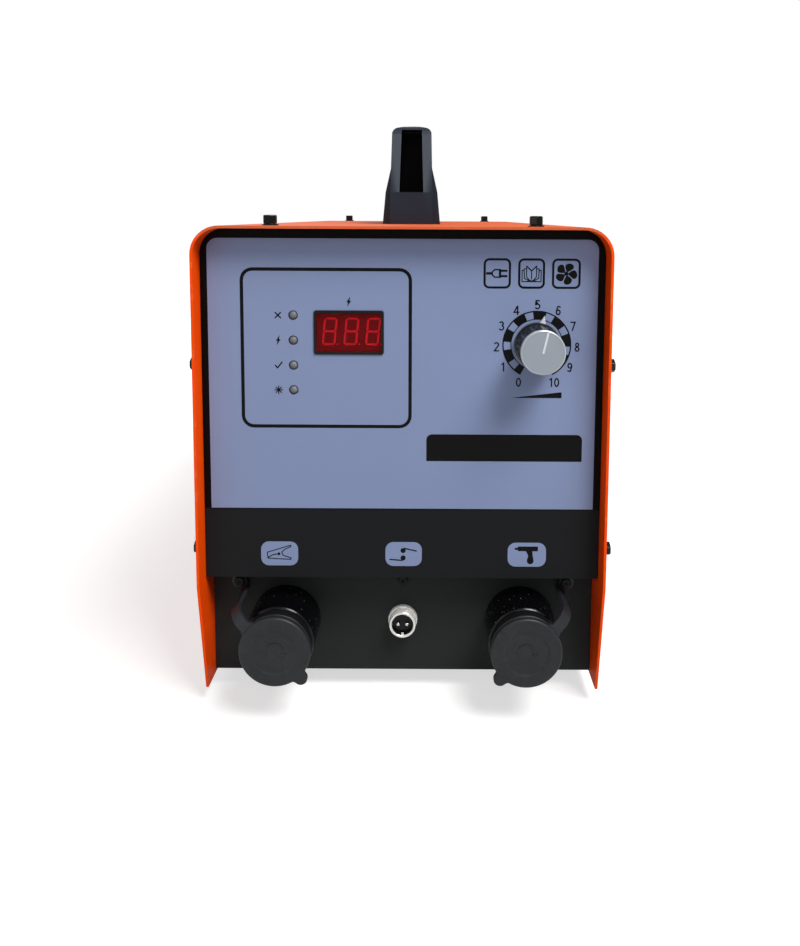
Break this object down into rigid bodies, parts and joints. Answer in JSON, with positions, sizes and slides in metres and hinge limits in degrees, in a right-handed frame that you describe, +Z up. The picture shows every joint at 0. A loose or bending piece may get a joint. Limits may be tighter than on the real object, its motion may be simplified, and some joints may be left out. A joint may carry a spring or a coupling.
{
  "type": "capacitor-discharge stud welder",
  "caption": "Portable stud welder: hooded sheet-steel case with display and dial on the front, capped weld sockets and a control socket below, and a carry handle on top.",
  "frame": {"origin": "under the middle of the whole machine, on the surface that its feet stand on", "axes": "+Z up, front faces -Y, +X to the right seen from the front"},
  "size_m": [0.242, 0.457, 0.3489],
  "materials": {
    "orange_paint": "fine powder coat",
    "black_paint": "satin powder coat",
    "grey_steel": "satin",
    "overlay_film": "satin printed film",
    "black_plastic": "moulded, satin",
    "gloss_black": "glossy",
    "cap_rubber": "matt",
    "foot_rubber": "matt",
    "black_screw": "black oxide",
    "zinc": "zinc plated",
    "chrome": "polished",
    "brass": "machined",
    "copper": "bare copper",
    "aluminium": "satin",
    "red_filter": "clear red",
    "white_plastic": "satin",
    "lamp_lens": "diffuse",
    "red_plastic": "glossy",
    "board": "coated board",
    "can_sleeve": "sleeved",
    "core_iron": "varnished",
    "winding": "enamelled wire"
  },
  "bodies": {
    "case": {"top_cover": "orange_paint", "base_tray": "grey_steel", "front_fascia": "black_paint", "connector_panel": "black_paint", "rear_panel": "black_paint", "panel_overlay": "overlay_film", "carry_handle": "black_plastic", "handle_bolts": "zinc", "cover_screws": "black_screw", "panel_screws": "black_screw", "machine_screws": "black_screw", "rubber_feet": "foot_rubber", "foot_screws": "zinc", "display_bezel": "black_plastic", "display_filter": "red_filter", "display_module": "black_plastic", "display_board": "board", "indicator_leds": "lamp_lens", "potentiometer": "zinc", "panel_nuts": "zinc", "left_socket_body": "gloss_black", "right_socket_body": "gloss_black", "left_socket_contact": "brass", "right_socket_contact": "brass", "socket_nuts": "zinc", "left_cap_strap": "cap_rubber", "right_cap_strap": "cap_rubber", "control_socket_shell": "chrome", "control_socket_insert": "gloss_black", "control_socket_pins": "brass", "fan_frame": "black_plastic", "fan_guard": "chrome", "switch_housing": "gloss_black", "gland_body": "black_plastic", "gland_cap": "black_plastic", "gland_nut": "black_plastic", "earth_terminal": "zinc", "capacitor_cans": "can_sleeve", "capacitor_posts": "aluminium", "capacitor_clamp": "grey_steel", "board_spacers": "brass", "negative_bus": "copper", "positive_bus": "copper", "gun_link": "copper", "bus_screws": "zinc", "heat_sink": "aluminium", "thyristor": "black_plastic", "rectifier": "black_plastic", "transformer_core": "core_iron", "transformer_coil": "winding", "control_board": "board"},
    "knob": {"knob_body": "black_plastic", "knob_cap": "aluminium", "knob_pointer": "white_plastic", "pot_shaft": "zinc"},
    "left_cap": {"left_cap": "cap_rubber"},
    "right_cap": {"right_cap": "cap_rubber"},
    "rocker": {"power_rocker": "red_plastic"},
    "fan": {"fan_rotor": "black_plastic"}
  },
  "joints": [
    {"name": "knob_turn", "type": "hinge", "parent": "case", "child": "knob", "pos_m": [0.0755, -0.2035, 0.2142], "axis": [0, 1, 0], "range_deg": [-163, 137]},
    {"name": "left_cap_swing", "type": "hinge", "parent": "case", "child": "left_cap", "pos_m": [-0.0934, -0.2138, 0.06474], "axis": [-0.6561, 0, -0.7547], "range_deg": [0, 105]},
    {"name": "right_cap_swing", "type": "hinge", "parent": "case", "child": "right_cap", "pos_m": [0.0934, -0.2138, 0.06474], "axis": [-0.6561, 0, 0.7547], "range_deg": [0, 105]},
    {"name": "power_rocker_tilt", "type": "hinge", "parent": "case", "child": "rocker", "pos_m": [0.062, 0.2029, 0.0884], "axis": [1, 0, 0], "range_deg": [0, 20]},
    {"name": "fan_spin", "type": "hinge", "parent": "case", "child": "fan", "pos_m": [0, 0.1885, 0.1904], "axis": [0, 1, 0], "continuous": true}
  ]
}
